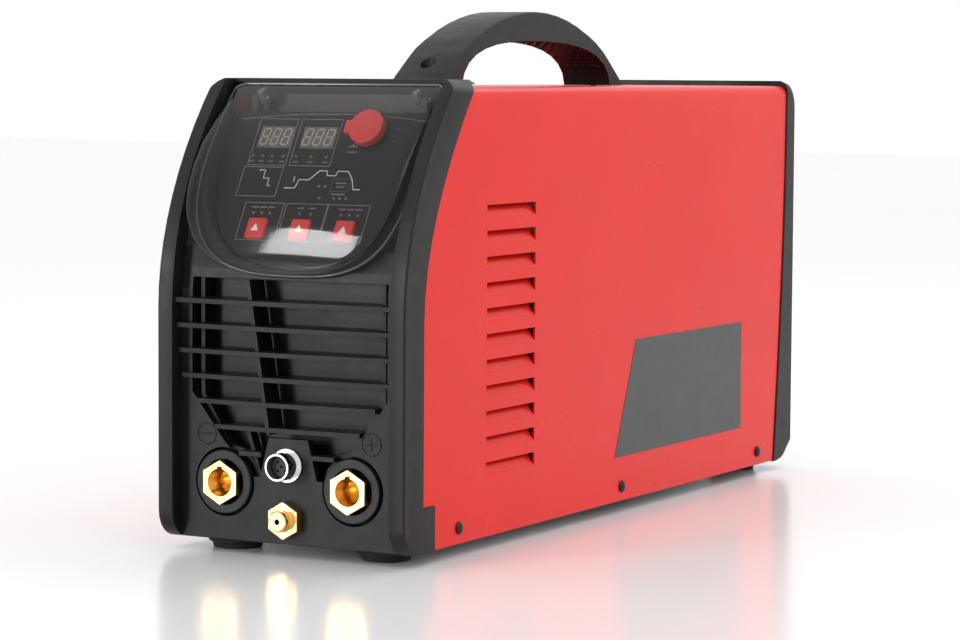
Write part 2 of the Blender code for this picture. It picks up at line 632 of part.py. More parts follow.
def fasteners():
    head = [(0, 0.0022), (0.0022, 0.0019), (0.0038, 0.0008), (0.0040, GAP), (0.0020, GAP),
            (0.0020, -0.0045), (0, -0.0045)]
    for side_name, side in SIDES:
        for place_name, y in zip(("front", "middle", "rear"), SCREW_Y):
            turned(f"side_screw_{side_name}_{place_name}", head, BLACK_PLASTIC,
                   at(side * COVER_HALF_WIDTH, y, SCREW_Z) @ TO_SIDE[side], 12)
    handle_head = [(0, 0.0028), (0.0030, 0.0026), (0.0040, 0.0012), (0.0040, GAP), (0.0020, GAP),
                   (0.0020, -0.0110), (0, -0.0110)]
    for place_name, y in zip(("front", "rear"), HANDLE_SCREW_Y):
        turned(f"handle_screw_{place_name}", handle_head, STEEL, at(0, y, COVER_TOP + 0.0045), 12)
    foot = [(0, FOOT_HEIGHT), (FOOT_RADIUS, FOOT_HEIGHT), (FOOT_RADIUS, 0.0040),
            (FOOT_RADIUS - 0.002, 0.0034), (FOOT_RADIUS - 0.003, 0), (0, 0)]
    for side_name, side in SIDES:
        for place_name, y in zip(("front", "rear"), FOOT_Y):
            turned(f"foot_{place_name}_{side_name}", foot, RUBBER, at(side * FOOT_X, y, 0), 24)


# ---------------------------------------------------------------- visor
def visor():
    """Smoked cover over the controls: a shallow dome whose rim rests on the front moulding."""
    rim = u_outline(VISOR_HALF_WIDTH, VISOR_BOTTOM + 0.0008, 0.2350, VISOR_TOP, 0.008, 3.0, 10)
    centre_z = 0.2200
    rings = ((1.0, 1.0), (0.992, 0.50), (0.975, 0.12), (0.95, 0.0), (0.74, 0.0), (0.45, 0.0))

    def crown(x, z):
        rise = (z - VISOR_BOTTOM) / (VISOR_TOP - VISOR_BOTTOM)
        return 0.0035 * max(0.0, 4 * rise * (1 - rise)) * (1 - (x / VISOR_HALF_WIDTH) ** 2)

    bm = bmesh.new()
    loops = []
    for scale, share in rings:
        loop = []
        for x, z in rim:
            here = centre_z + (z - centre_z) * scale
            front = curve_y(VISOR_CURVE, here) - crown(x * scale, here)
            behind = curve_y(FACE_CURVE, z) - 0.0018
            depth = max(0.0, behind - curve_y(VISOR_CURVE, z))
            loop.append(bm.verts.new((x * scale, front + depth * share, here)))
        loops.append(loop)
    for outside, inside in zip(loops, loops[1:]):
        for index in range(len(rim)):
            after = (index + 1) % len(rim)
            bm.faces.new((outside[index], outside[after], inside[after], inside[index]))
    middle = bm.verts.new((0, curve_y(VISOR_CURVE, centre_z) - crown(0, centre_z), centre_z))
    for index, vert in enumerate(loops[-1]):
        bm.faces.new((vert, loops[-1][(index + 1) % len(rim)], middle))
    bmesh.ops.translate(bm, verts=bm.verts, vec=(0, -VISOR_HINGE_Y, -VISOR_HINGE_Z))
    bmesh.ops.recalc_face_normals(bm, faces=bm.faces)
    if sum(face.normal.y * face.calc_area() for face in bm.faces) > 0:
        bmesh.ops.reverse_faces(bm, faces=bm.faces)
    shell = object_from(bm, "visor", SMOKED_CLEAR, at(0, VISOR_HINGE_Y, VISOR_HINGE_Z))
    wall = shell.modifiers.new("wall", "SOLIDIFY")
    wall.thickness = VISOR_WALL
    wall.offset = -1

    lugs = []
    for _, side in SIDES:
        outline = arc((VISOR_HINGE_Y, VISOR_HINGE_Z), 0.0034, -150, 40, 6)
        outline += [(VISOR_HINGE_Y + 0.0005, VISOR_HINGE_Z + 0.0068),
                    (VISOR_HINGE_Y - 0.0060, VISOR_HINGE_Z + 0.0040)]
        x = side * HINGE_LUG_X
        lugs.append(slab("lug", outline, x - 0.0020, x + 0.0020, "X"))
    fuse(shell, group("visor_lugs", lugs))
    cut(shell, drill("lug_pin_hole", 0.0018, -0.06, 0.06,
                     at(0, VISOR_HINGE_Y, VISOR_HINGE_Z) @ TO_SIDE[1], 12))
    for side_name, side in SIDES:
        inner, outer = sorted((side * (HINGE_LUG_X - 0.0030), side * (HINGE_BRACKET_X + 0.0028)))
        turned(f"visor_pin_{side_name}", disc_profile(0.0015, inner, outer), STEEL,
               at(0, VISOR_HINGE_Y, VISOR_HINGE_Z) @ TO_SIDE[1], 12)


# ---------------------------------------------------------------- control panel
def panel_outline(inset):
    """Outline of the recess seen square on, as (x, distance up the slope)."""
    outline = []
    for x, z in u_outline(0.0700 - inset, 0.1640 + inset, 0.2480, 0.2700, 0.012, 2.7):
        outline.append((x, min((z - PANEL_FOOT.z) / PANEL_UP.z, 0.0770 - inset)))
    return outline


def in_panel(x, v, depth=0.0):
    return PANEL_FRAME @ Matrix.Translation((x, v, depth))


def control_panel():
    panel = slab("control_panel", panel_outline(0.0010), -PANEL_THICKNESS, 0, "Z", PANEL_FOIL,
                 frame=PANEL_FRAME)
    windows = [box("window", (x - 0.0120, DISPLAY_V - 0.0077, -0.01),
                   (x + 0.0120, DISPLAY_V + 0.0077, 0.01),
                   frame=PANEL_FRAME) for x in DISPLAY_X]
    keys = [box("key_hole", (x - 0.0066, BUTTON_V - 0.0069, -0.01), (x + 0.0066, BUTTON_V + 0.0069, 0.01),
                frame=PANEL_FRAME) for x in BUTTON_X]
    knob = drill("knob_hole", 0.0038, -0.01, 0.01, in_panel(KNOB_X, KNOB_V), 16)
    cut(panel, group("panel_holes", windows + keys + [knob]))

    box("control_board", (-0.0500, -0.0150, -BOARD_DEPTH - 0.0016), (0.0500, 0.0740, -BOARD_DEPTH),
        CIRCUIT_BOARD, frame=PANEL_FRAME)
    for name, x in zip(("left", "right"), DISPLAY_X):
        box(f"display_{name}", (x - 0.0116, DISPLAY_V - 0.0073, -BOARD_DEPTH + GAP),
            (x + 0.0116, DISPLAY_V + 0.0073, -0.0004), DISPLAY_GREY, frame=PANEL_FRAME)
    for name, x in zip(("left", "middle", "right"), BUTTON_X):
        box(f"button_{name}", (-0.0062, -0.0065, -0.0115), (0.0062, 0.0065, 0.0022), RED_PLASTIC,
            bevel=0.0008, frame=in_panel(x, BUTTON_V))

    body = box("encoder_body", (-0.0062, -0.0062, -BOARD_DEPTH + GAP), (0.0062, 0.0062, -0.0058), STEEL,
               frame=in_panel(KNOB_X, KNOB_V))
    cut(body, drill("encoder_bore", 0.0033, -0.02, 0.01, in_panel(KNOB_X, KNOB_V), 16))
    turned("encoder_shaft", disc_profile(0.0030, -0.0116, KNOB_TOP - 0.0016, 0.0004), STEEL,
           in_panel(KNOB_X, KNOB_V), 16)
    cap = turned("encoder_knob", [(0, KNOB_TOP), (0.0104, KNOB_TOP), (0.0110, KNOB_TOP - 0.0006),
                                  (0.0110, 0.0012), (0.0033, 0.0012), (0.0033, KNOB_TOP - 0.0012),
                                  (0, KNOB_TOP - 0.0012)], RED_PLASTIC,
                 in_panel(KNOB_X, KNOB_V), 32)
    fuse(cap, box("pointer", (-0.0142, -0.0040, 0.0018), (-0.0060, 0.0040, KNOB_TOP - 0.0010),
                  frame=in_panel(KNOB_X, KNOB_V)))


# ---------------------------------------------------------------- front connections
def output_sockets():
    for name, side in (("negative", -1), ("positive", 1)):
        where = at(side * SOCKET_X, 0, SOCKET_Z) @ TO_FRONT
        turned(f"{name}_socket_flange",
               [(0.0132, 0.2645), (0.0180, 0.2645), (0.0185, 0.2640), (0.0185, 0.2595),
                (0.0150, 0.2595), (0.0150, 0.2488), (0.0132, 0.2488)],
               BLACK_PLASTIC, where, 32, ring=True)
        # across the front view the hexagon has a corner at the top
        hexagon = [(side * SOCKET_X + x, SOCKET_Z + z) for x, z in polygon(6, 0.01282, 90)]
        insert = slab(f"{name}_socket_insert", hexagon, -0.2688, -0.2488, "Y", BRASS)
        fuse(insert, drill("insert_body", 0.0105, 0.2300, 0.2500, where, 24))
        key = box("keyway", (side * SOCKET_X - 0.0016, -0.28, SOCKET_Z),
                  (side * SOCKET_X + 0.0016, -0.2480, SOCKET_Z + 0.0092))
        bore = turned("socket_bore", [(0, 0.2700), (0.0080, 0.2700), (0.0080, 0.2684), (0.0066, 0.2666),
                                      (0.0066, 0.2450), (0, 0.2450)], matrix=where, steps=24)
        cut(insert, bore, key)


def control_connector():
    where = at(0, 0, CONNECTOR_Z) @ TO_FRONT
    turned("control_connector_shell",
           [(0.0066, 0.2755), (0.0078, 0.2755), (0.0080, 0.2751), (0.0080, 0.2648), (0.0098, 0.2648),
            (0.0098, 0.2632), (0.0074, 0.2632), (0.0074, 0.2440), (0.0066, 0.2440)],
           CHROME, where, 28, ring=True)
    insert = turned("control_connector_insert", disc_profile(0.0063, 0.2450, 0.2700), BLACK_PLASTIC,
                    where, 20)
    pins = [drill("pin_hole", 0.0008, 0.2640, 0.2750, where @ at(x, y, 0), 8)
            for x, y in [*polygon(4, 0.0036, 45), (0, 0)]]
    cut(insert, group("pin_holes", pins))


def gas_outlet():
    where = at(0, 0, GAS_OUTLET_Z) @ TO_FRONT
    fitting = slab("gas_outlet_fitting", [(x, GAS_OUTLET_Z + z) for x, z in polygon(6, 0.01097, 90)],
                   -0.2690, -0.2632, "Y", BRASS)
    stem = turned("stem", [(0, 0.2750), (0.0055, 0.2750), (0.0061, 0.2744), (0.0061, 0.2380),
                           (0.0034, 0.2380), (0.0034, 0.2270), (0, 0.2270)], matrix=where, steps=24)
    fuse(fitting, stem)
    cut(fitting, drill("gas_bore", 0.0015, 0.22, 0.28, where, 12))


# ---------------------------------------------------------------- rear fittings
def fan():
    frame = box("fan_frame", (-FAN_HALF, FAN_Y[0], FAN_Z - FAN_HALF),
                (FAN_HALF, FAN_Y[1], FAN_Z + FAN_HALF),
                BLACK_PLASTIC)
    axis = at(0, 0, FAN_Z) @ TO_FRONT.inverted()
    cut(frame, drill("fan_duct", 0.0565, 0.20, 0.28, axis))
    arms = [box("arm", (-0.0585, FAN_Y[0], -0.0030), (0.0585, FAN_Y[0] + 0.0030, 0.0030),
                frame=at(0, 0, FAN_Z) @ Matrix.Rotation(math.radians(turn), 4, "Y")) for turn in (45, 135)]
    hub = drill("motor_mount", 0.0190, FAN_Y[0], FAN_Y[0] + 0.0035, axis, 20)
    fuse(frame, arms[0], arms[1], hub)

    rotor = turned("fan_rotor", disc_profile(0.0180, 0.0045, 0.0230, 0.001), BLACK_PLASTIC,
                   at(0, FAN_Y[0], FAN_Z) @ TO_FRONT.inverted(), 20)
    blades = []
    for blade in range(7):
        spin = Matrix.Rotation(2 * math.pi * blade / 7, 4, "Y")
        pitch = Matrix.Rotation(math.radians(40), 4, "Z")
        blades.append(box("blade", (-0.0006, -0.0105, 0), (0.0006, 0.0105, 0.0370),
                          frame=at(0, FAN_Y[0] + 0.0140, FAN_Z) @ spin @ at(0, 0, 0.0170) @ pitch))
    fuse(rotor, group("fan_blades", blades))

    guard_low, guard_high = REAR_PANEL_Y + SHEET + GAP, REAR_PANEL_Y + SHEET + GAP + 0.0022
    rings = [turned("ring", ring_profile(radius - 0.0011, radius + 0.0011, guard_low, guard_high),
                    matrix=axis, steps=24, ring=True) for radius in (0.0560, 0.0440, 0.0320, 0.0200)]
    guard = box("fan_guard", (-0.0600, guard_low + 0.0002, FAN_Z - 0.0012),
                (0.0600, guard_high - 0.0002, FAN_Z + 0.0012), STEEL)
    fuse(guard, box("guard_bar", (-0.0012, guard_low + 0.0002, FAN_Z - 0.0600),
                    (0.0012, guard_high - 0.0002, FAN_Z + 0.0600)), *rings)


def power_switch():
    x, z = -0.0400, 0.0700
    housing = box("power_switch_housing", (x - 0.0105, 0.2400, z - 0.0140),
                  (x + 0.0105, 0.2614, z + 0.0140),
                  BLACK_PLASTIC)
    fuse(housing, box("switch_flange", (x - 0.0125, 0.26155, z - 0.0160), (x + 0.0125, 0.2632, z + 0.0160)))
    fuse(housing, box("switch_neck", (x - 0.0100, 0.2600, z - 0.0135), (x + 0.0100, 0.2625, z + 0.0135)))
    cut(housing, box("switch_well", (x - 0.0085, 0.2450, z - 0.0120), (x + 0.0085, 0.30, z + 0.0120)))
    tilt = Matrix.Rotation(math.radians(9), 4, "X")
    profile = [(-0.0080, 0.0035), (0.0, 0.0022), (0.0080, 0.0035), (0.0105, 0.0030), (0.0098, -0.0080),
               (-0.0098, -0.0080), (-0.0105, 0.0030)]
    rocker = slab("power_switch_rocker", [(y, height) for height, y in profile], -0.0078, 0.0078, "X",
                  RED_PLASTIC)
    rocker.matrix_world = at(x, 0.2610, z) @ tilt


def rear_fittings():
    to_back = TO_FRONT.inverted()
    turned("cable_gland", [(0.0050, 0.2755), (0.0085, 0.2755), (0.0110, 0.2720), (0.0110, 0.2616),
                           (0.0080, 0.2616), (0.0080, 0.2500), (0.0050, 0.2500)],
           BLACK_PLASTIC, at(0.0380, 0, 0.0680) @ to_back, 24, ring=True)
    turned("gas_inlet_fitting", [(0.0018, 0.2755), (0.0040, 0.2755), (0.0045, 0.2730), (0.0036, 0.2715),
                                 (0.0045, 0.2700), (0.0036, 0.2685), (0.0085, 0.2670), (0.0085, 0.2616),
                                 (0.0050, 0.2616), (0.0050, 0.2310), (0.0018, 0.2310)],
           BRASS, at(-0.0400, 0, 0.0350) @ to_back, 20, ring=True)
    turned("earth_stud", [(0, 0.2740), (0.0030, 0.2735), (0.0030, 0.2660), (0.0060, 0.2660),
                          (0.0060, 0.2616), (0.0030, 0.2616), (0.0030, 0.2500), (0, 0.2500)],
           BRASS, at(0.0380, 0, 0.0350) @ to_back, 16)


# ---------------------------------------------------------------- inside
def heatsinks():
    for name, side in SIDES:
        fins, pitch, fin = 7, 0.0088, 0.0016
        outline = [(0.0, 0.0), (fins * pitch - pitch + fin, 0.0)]
        for index in reversed(range(fins)):
            right, left = index * pitch + fin, index * pitch
            outline += [(right, 0.0500), (left, 0.0500)]
            if index:
                outline += [(left, 0.0060), (left - pitch + fin, 0.0060)]
        width = fins * pitch - pitch + fin
        offset = 0.0120 if side > 0 else -0.0120 - width
        slab(f"heatsink_{name}", [(x + offset, z + 0.0300) for x, z in outline], -0.150, 0.060, "Y",
             ALUMINIUM)


def power_electronics():
    box("power_board", (-0.0720, -0.1750, 0.0820), (0.0720, 0.0900, 0.0836), CIRCUIT_BOARD)
    for name, side in SIDES:
        turned(f"capacitor_{name}", disc_profile(0.0175, 0.0839, 0.1340, 0.0015), SLEEVE_BLUE,
               at(side * 0.0350, 0.0500, 0), 20)
    core = box("transformer_core", (-0.0400, 0.1150, 0.0110), (0.0400, 0.1600, 0.0800), FERRITE)
    windows = [box("window", (min(low, high), 0.10, 0.0260), (max(low, high), 0.18, 0.0650))
               for low, high in ((-0.0280, -0.0110), (0.0110, 0.0280))]
    cut(core, group("core_windows", windows))
    winding = box("transformer_winding", (-0.0270, 0.0990, 0.0270), (0.0270, 0.1760, 0.0640), COPPER,
                  bevel=0.004)
    cut(winding, box("leg_hole", (-0.0115, 0.1140, 0.02), (0.0115, 0.1610, 0.07)))
    turned("output_choke", [(0.0110, 0.0330), (0.0140, 0.0370), (0.0260, 0.0370), (0.0290, 0.0330),
                            (0.0290, 0.0150), (0.0260, 0.0110), (0.0140, 0.0110), (0.0110, 0.0150)],
           COPPER, at(0.0400, -0.1900, 0), 24, ring=True)


def gas_circuit():
    valve = box("solenoid_valve", (-0.0530, 0.2020, 0.0220), (-0.0270, 0.2307, 0.0480), BRASS, bevel=0.001)
    fuse(valve, drill("coil", 0.0120, 0.0400, 0.0780, at(-0.0400, 0.2150, 0), 20))
    tube("gas_hose", [(-0.0400, 0.2016, 0.0300), (-0.0400, 0.1980, 0.0300),
                      (-0.0420, 0.1900, 0.0285), (-0.0480, 0.1750, 0.0230),
                      (-0.0530, 0.1550, 0.0185), (-0.0550, 0.1200, 0.0180), (-0.0550, 0.0, 0.0180),
                      (-0.0550, -0.1300, 0.0180), (-0.0500, -0.1650, 0.0180), (-0.0350, -0.1950, 0.0190),
                      (-0.0150, -0.2090, 0.0205), (-0.0030, -0.2150, 0.0217),
                      (0, -0.2220, 0.0220), (0, -0.2266, 0.0220)],
         0.0038, HOSE_GREY)


def build():
    base_tray()
    top_cover()
    front_bezel()
    front_grille()
    front_plate()
    rear_bezel()
    rear_panel()
    handle()
    fasteners()
    visor()
    control_panel()
    output_sockets()
    control_connector()
    gas_outlet()
    fan()
    power_switch()
    rear_fittings()
    heatsinks()
    power_electronics()
    gas_circuit()


build()
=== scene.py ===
"""Looks of the TIG welding machine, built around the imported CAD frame."""
import json
import math

import bmesh
import bpy
from mathutils import Matrix, Vector


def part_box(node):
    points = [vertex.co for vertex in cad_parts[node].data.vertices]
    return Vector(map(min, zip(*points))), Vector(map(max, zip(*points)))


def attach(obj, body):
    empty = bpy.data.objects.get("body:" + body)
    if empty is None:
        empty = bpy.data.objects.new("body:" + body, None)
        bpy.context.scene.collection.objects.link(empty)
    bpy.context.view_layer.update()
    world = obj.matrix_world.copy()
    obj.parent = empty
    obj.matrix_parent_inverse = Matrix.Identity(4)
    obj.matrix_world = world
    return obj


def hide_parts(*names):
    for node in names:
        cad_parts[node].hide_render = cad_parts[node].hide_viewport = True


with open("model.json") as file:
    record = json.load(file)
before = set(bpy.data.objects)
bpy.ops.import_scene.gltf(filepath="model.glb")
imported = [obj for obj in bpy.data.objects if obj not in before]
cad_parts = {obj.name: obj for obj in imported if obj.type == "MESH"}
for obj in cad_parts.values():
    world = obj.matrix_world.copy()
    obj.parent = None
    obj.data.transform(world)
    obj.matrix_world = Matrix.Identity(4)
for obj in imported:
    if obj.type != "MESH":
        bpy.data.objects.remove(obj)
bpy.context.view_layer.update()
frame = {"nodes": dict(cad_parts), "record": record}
NODES = frame["nodes"]

# ---------------------------------------------------------------- named places, metres
CAMERA_PLACE = Vector((0.9452, -1.7690, 0.2779))
CAMERA_YAW, CAMERA_PITCH, CAMERA_ROLL = math.radians(28.62), math.radians(4.56), math.radians(0.33)
CAMERA_LENS = 118.24

PANEL_TILT = math.radians(30)
PANEL_FOOT = Vector((0, -0.2494, 0.1866))
PANEL_UP = Vector((0, math.sin(PANEL_TILT), math.cos(PANEL_TILT)))
PANEL_NORMAL = Vector((0, -math.cos(PANEL_TILT), math.sin(PANEL_TILT)))
PANEL_FRAME = Matrix.Translation(PANEL_FOOT) @ Matrix((
    (1, 0, 0, 0),
    (0, PANEL_UP.y, PANEL_NORMAL.y, 0),
    (0, PANEL_UP.z, PANEL_NORMAL.z, 0),
    (0, 0, 0, 1),
))
LOWER_FACE_Y = -0.2629
BUTTON_X, BUTTON_V, BUTTON_TOP = (-0.0294, -0.0003, 0.0290), -0.001, 0.0022
DISPLAY_V, DISPLAY_TOP = 0.0595, -0.0004
KNOB_V = 0.0640
VISOR_LUG_X, VISOR_LUG_THICKNESS = 0.0520, 0.0032
TROUGH_BACK_Y = -0.1952          # just behind the trough that the visor's hinge sits in
COVER_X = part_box("top_cover")[1].x

# side-view curves (y, z) of the front moulding's face and of the visor
FACE_CURVE = [(LOWER_FACE_Y, 0.140), (LOWER_FACE_Y, 0.178), (-0.2445, 0.2220), (-0.2075, 0.2630)]
VISOR_LOW, VISOR_HIGH, VISOR_HALF_WIDTH, VISOR_WALL = 0.1595, 0.2685, 0.072, 0.0018
VISOR_CURVE = [(-0.2740, VISOR_LOW), (-0.2745, 0.2000), (-0.2500, 0.2430), (-0.2050, VISOR_HIGH)]


# ---------------------------------------------------------------- materials
def new_material(name):
    material = bpy.data.materials.new(name)
    material.use_nodes = True
    tree = material.node_tree
    return material, tree, tree.nodes["Principled BSDF"]


def add_noise(tree, scale, detail=4.0, stretch=(1, 1, 1)):
    """Noise over the object's own coordinates, so the grain is the same size on every piece."""
    coordinates = tree.nodes.new("ShaderNodeTexCoord")
    mapping = tree.nodes.new("ShaderNodeMapping")
    mapping.inputs["Scale"].default_value = stretch
    noise = tree.nodes.new("ShaderNodeTexNoise")
    noise.inputs["Scale"].default_value = scale
    noise.inputs["Detail"].default_value = detail
    tree.links.new(coordinates.outputs["Object"], mapping.inputs["Vector"])
    tree.links.new(mapping.outputs["Vector"], noise.inputs["Vector"])
    return noise.outputs["Fac"]


def add_ramp(tree, source, stops):
    ramp = tree.nodes.new("ShaderNodeValToRGB")
    elements = ramp.color_ramp.elements
    while len(elements) < len(stops):
        elements.new(0.5)
    for element, (position, colour) in zip(elements, stops):
        element.position = position
        element.color = (*colour, 1.0)
    tree.links.new(source, ramp.inputs["Fac"])
    return ramp.outputs["Color"]


def add_bump(tree, shader, source, strength, distance):
    bump = tree.nodes.new("ShaderNodeBump")
    bump.inputs["Strength"].default_value = strength
    bump.inputs["Distance"].default_value = distance
    tree.links.new(source, bump.inputs["Height"])
    tree.links.new(bump.outputs["Normal"], shader.inputs["Normal"])


def finish_material(name, dark, light, rough, metallic=0.0, grain=900, bump=(0.1, 0.0001),
                    mottle=25, stretch=(1, 1, 1), coat=0.0, specular=0.5):
    """A surface with slow colour mottling, uneven gloss and a fine grain in its relief."""
    material, tree, shader = new_material(name)
    slow = add_noise(tree, mottle, 3.0, stretch)
    tree.links.new(add_ramp(tree, slow, [(0.3, dark), (0.7, light)]), shader.inputs["Base Color"])
    low, high = rough
    gloss = add_noise(tree, mottle * 4, 5.0, stretch)
    gloss = add_ramp(tree, gloss, [(0.25, (low,) * 3), (0.75, (high,) * 3)])
    tree.links.new(gloss, shader.inputs["Roughness"])
    add_bump(tree, shader, add_noise(tree, grain, 3.0, stretch), *bump)
    shader.inputs["Metallic"].default_value = metallic
    shader.inputs["Coat Weight"].default_value = coat
    shader.inputs["Coat Roughness"].default_value = 0.12
    shader.inputs["Specular IOR Level"].default_value = specular
    return material


def visor_material():
    """Smoked clear sheet: tinted, with a gloss on its outer faces that grows at a slant."""
    material, tree, shader = new_material("visor_clear")
    clear = tree.nodes.new("ShaderNodeBsdfTransparent")
    tint = add_ramp(tree, add_noise(tree, 12, 2.0),
                    [(0.3, (0.86, 0.845, 0.83)), (0.7, (0.88, 0.865, 0.85))])
    tree.links.new(tint, clear.inputs["Color"])
    shader.inputs["Base Color"].default_value = (0.95, 0.95, 0.95, 1.0)
    shader.inputs["Metallic"].default_value = 1.0
    shader.inputs["Roughness"].default_value = 0.07
    fresnel = tree.nodes.new("ShaderNodeFresnel")
    fresnel.inputs["IOR"].default_value = 1.36
    mix = tree.nodes.new("ShaderNodeMixShader")
    outer_only = tree.nodes.new("ShaderNodeMath")
    outer_only.operation = "SUBTRACT"
    outer_only.use_clamp = True
    geometry = tree.nodes.new("ShaderNodeNewGeometry")
    tree.links.new(fresnel.outputs["Fac"], outer_only.inputs[0])
    tree.links.new(geometry.outputs["Backfacing"], outer_only.inputs[1])
    tree.links.new(outer_only.outputs["Value"], mix.inputs["Fac"])
    tree.links.new(clear.outputs["BSDF"], mix.inputs[1])
    tree.links.new(shader.outputs["BSDF"], mix.inputs[2])
    tree.links.new(mix.outputs["Shader"], tree.nodes["Material Output"].inputs["Surface"])
    return material


def build_materials():
    m = {
        "red_paint": finish_material("red_powder_coat", (0.66, 0.010, 0.006), (0.71, 0.012, 0.008),
                                     (0.26, 0.34), grain=300, bump=(0.03, 0.00003), mottle=14, coat=0.06,
                                     specular=0.22),
        "black_plastic": finish_material("black_textured_plastic", (0.0050, 0.0050, 0.0052),
                                         (0.0075, 0.0075, 0.0078), (0.40, 0.50), grain=1600,
                                         bump=(0.30, 0.00018), mottle=30, specular=0.30),
        "black_moulding": finish_material("black_smooth_moulding", (0.008, 0.008, 0.009),
                                          (0.012, 0.012, 0.013), (0.34, 0.42), grain=1100,
                                          bump=(0.10, 0.0001), specular=0.30),
        "black_screw": finish_material("black_oxide", (0.010, 0.010, 0.010), (0.020, 0.019, 0.018),
                                       (0.28, 0.40), metallic=0.6, grain=900),
        "panel_foil": finish_material("printed_foil", (0.007, 0.007, 0.0075), (0.010, 0.010, 0.0105),
                                      (0.30, 0.38), grain=800, bump=(0.01, 0.00002),
                                      specular=0.20),
        "display_window": finish_material("display_window", (0.105, 0.103, 0.100), (0.125, 0.122, 0.120),
                                          (0.16, 0.22), grain=600, bump=(0.03, 0.00005)),
        "segment": finish_material("display_segment", (0.30, 0.295, 0.285), (0.36, 0.355, 0.345),
                                   (0.30, 0.40), grain=900, bump=(0.03, 0.00005)),
        "red_plastic": finish_material("red_knob_plastic", (0.60, 0.018, 0.020), (0.68, 0.024, 0.026),
                                       (0.30, 0.40), grain=1000, bump=(0.10, 0.0001), coat=0.2),
        "brass": finish_material("machined_brass", (0.84, 0.55, 0.20), (0.95, 0.70, 0.34),
                                 (0.16, 0.28), metallic=1.0, grain=900, bump=(0.10, 0.00008),
                                 stretch=(1, 1, 6)),
        "chrome": finish_material("bright_chrome", (0.72, 0.72, 0.74), (0.82, 0.82, 0.83),
                                  (0.06, 0.14), metallic=1.0, grain=500, bump=(0.03, 0.00005)),
        "steel": finish_material("zinc_plated_steel", (0.42, 0.42, 0.43), (0.56, 0.56, 0.58),
                                 (0.30, 0.45), metallic=1.0, grain=800, stretch=(1, 5, 1)),
        "aluminium": finish_material("extruded_aluminium", (0.60, 0.61, 0.62), (0.72, 0.73, 0.74),
                                     (0.28, 0.40), metallic=1.0, grain=900, stretch=(8, 0.6, 8)),
        "rubber": finish_material("black_rubber", (0.010, 0.010, 0.010), (0.018, 0.018, 0.018),
                                  (0.70, 0.85), grain=900, bump=(0.25, 0.0002)),
        "circuit_board": finish_material("solder_resist", (0.010, 0.085, 0.030), (0.016, 0.120, 0.045),
                                         (0.28, 0.40), grain=600, mottle=60),
        "copper": finish_material("enamelled_copper", (0.42, 0.13, 0.045), (0.62, 0.23, 0.08),
                                  (0.25, 0.38), metallic=0.9, grain=300, bump=(0.6, 0.0006),
                                  stretch=(1, 1, 4)),
        "ferrite": finish_material("sintered_ferrite", (0.030, 0.030, 0.032), (0.050, 0.050, 0.054),
                                   (0.55, 0.70), grain=500),
        "capacitor_sleeve": finish_material("blue_sleeve", (0.012, 0.030, 0.18), (0.018, 0.045, 0.25),
                                            (0.25, 0.36), grain=400),
        "hose": finish_material("grey_hose", (0.05, 0.05, 0.055), (0.08, 0.08, 0.085),
                                (0.45, 0.60), grain=500),
        "print": finish_material("white_print", (0.42, 0.42, 0.42), (0.52, 0.52, 0.52),
                                 (0.45, 0.55), grain=900, bump=(0.05, 0.00005)),
        "dim_print": finish_material("grey_print", (0.12, 0.12, 0.12), (0.17, 0.17, 0.17),
                                     (0.45, 0.55), grain=900, bump=(0.05, 0.00005)),
        "bright_print": finish_material("white_mark", (0.75, 0.75, 0.75), (0.85, 0.85, 0.85),
                                        (0.40, 0.50), grain=900, bump=(0.05, 0.00005)),
        "decal": finish_material("grey_decal", (0.036, 0.037, 0.040), (0.043, 0.044, 0.047),
                                 (0.36, 0.44), grain=1200, bump=(0.08, 0.00006)),
        "lug": finish_material("visor_lug_plastic", (0.09, 0.085, 0.08), (0.12, 0.115, 0.11),
                               (0.25, 0.35), grain=800),
        "visor_rim": finish_material("visor_edge", (0.055, 0.050, 0.046), (0.075, 0.068, 0.063),
                                     (0.12, 0.20), grain=600, bump=(0.03, 0.00005), coat=0.5),
    }
    m["smoked_clear"] = visor_material()
    return m


MATERIALS = build_materials()
SLOT_OF = {part["node"]: part["material_slot"] for part in frame["record"]["subparts"]}
BODY_OF = {node: body for body, nodes in frame["record"]["behaviour"]["bodies"].items() for node in nodes}


def paint(obj, material):
    obj.data.materials.clear()
    obj.data.materials.append(material)


# ---------------------------------------------------------------- helpers
def link(obj):
    bpy.context.scene.collection.objects.link(obj)
    return obj


def finish_piece(obj, material, body="casing"):
    paint(obj, MATERIALS[material])
    if obj.type == "MESH":
        obj.data.shade_smooth()
        obj.data.set_sharp_from_angle(angle=math.radians(32))
    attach(obj, body)
    return obj


def mesh_piece(name, bm):
    mesh = bpy.data.meshes.new(name)
    bm.to_mesh(mesh)
    bm.free()
    return link(bpy.data.objects.new(name, mesh))


def refine(node, width=0.0005, segments=2):
    """Stand a softened copy in for a CAD node: the same shape with fine rounded edges."""
    bm = bmesh.new()
    bm.from_mesh(NODES[node].data)
    bmesh.ops.remove_doubles(bm, verts=bm.verts, dist=2e-6)
    bmesh.ops.dissolve_limit(bm, angle_limit=0.002, verts=bm.verts, edges=bm.edges)
    piece = mesh_piece(node + "_finished", bm)
    bevel = piece.modifiers.new("soft_edges", "BEVEL")
    bevel.width = width
    bevel.segments = segments
    bevel.limit_method = "ANGLE"
    bevel.angle_limit = math.radians(38)
    bevel.harden_normals = False
    finish_piece(piece, SLOT_OF[node], BODY_OF[node])
    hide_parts(node)
    return piece


